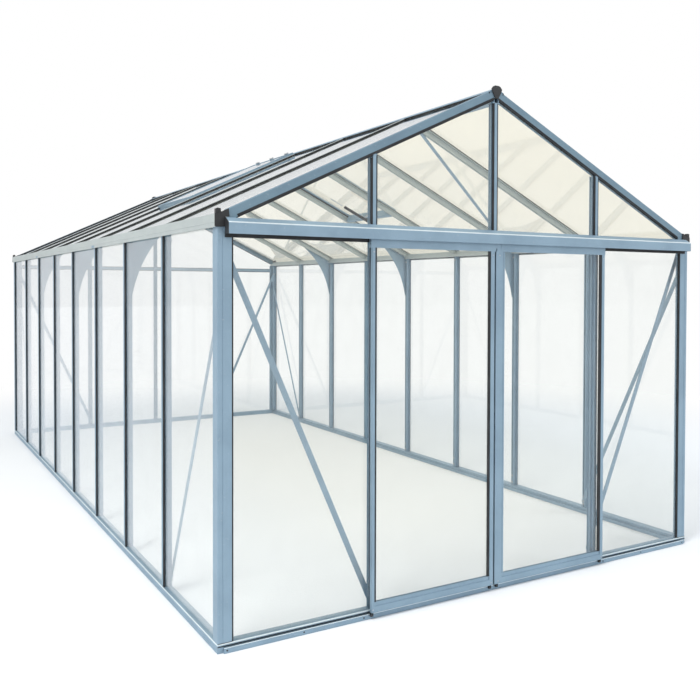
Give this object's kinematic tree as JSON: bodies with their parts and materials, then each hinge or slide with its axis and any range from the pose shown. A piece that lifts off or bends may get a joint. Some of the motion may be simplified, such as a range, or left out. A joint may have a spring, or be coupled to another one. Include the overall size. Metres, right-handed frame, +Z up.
{
  "type": "glass greenhouse",
  "caption": "Walk-in aluminium greenhouse with a gable roof, clear glass walls and roof, eaves gutters, shut roof vents and a pair of sliding doors hung in the front gable.",
  "frame": {"origin": "middle of the footprint, on the ground", "axes": "+X right seen from the door gable, +Y along the ridge away from the door gable, +Z up"},
  "size_m": [3.06, 6.272, 2.633],
  "materials": {
    "aluminium": "satin mill finish",
    "glass": "clear, slightly green",
    "rubber": "matt",
    "black_plastic": "matt"
  },
  "bodies": {
    "house": {"side_sills": "aluminium", "gable_sills": "aluminium", "corner_posts": "aluminium", "left_studs": "aluminium", "right_studs": "aluminium", "gutters": "aluminium", "ridge_beam": "aluminium", "left_roof_bars": "aluminium", "right_roof_bars": "aluminium", "front_rafters": "aluminium", "back_rafters": "aluminium", "front_transom": "aluminium", "back_transom": "aluminium", "front_mullions": "aluminium", "back_mullions": "aluminium", "door_header_track": "aluminium", "door_guide_track": "aluminium", "left_wall_glass": "glass", "right_wall_glass": "glass", "left_roof_glass": "glass", "right_roof_glass": "glass", "front_gable_glass": "glass", "back_gable_glass": "glass", "wall_gaskets": "rubber", "roof_gaskets": "rubber", "gable_gaskets": "rubber", "braces": "aluminium", "knee_plates": "aluminium", "end_caps": "black_plastic", "vent_frames": "aluminium", "vent_glass": "glass", "vent_sills": "aluminium", "vent_openers": "black_plastic"},
    "left_door": {"left_door_stiles": "aluminium", "left_door_top_rail": "aluminium", "left_door_bottom_rail": "aluminium", "left_door_glass": "glass", "left_door_gaskets": "rubber", "left_door_runners": "black_plastic"},
    "right_door": {"right_door_stiles": "aluminium", "right_door_top_rail": "aluminium", "right_door_bottom_rail": "aluminium", "right_door_glass": "glass", "right_door_gaskets": "rubber", "right_door_runners": "black_plastic"}
  },
  "joints": [
    {"name": "left_door_slide", "type": "slide", "parent": "house", "child": "left_door", "axis": [-1, 0, 0], "range_m": [0, 0.7]},
    {"name": "right_door_slide", "type": "slide", "parent": "house", "child": "right_door", "axis": [1, 0, 0], "range_m": [0, 0.7]}
  ]
}
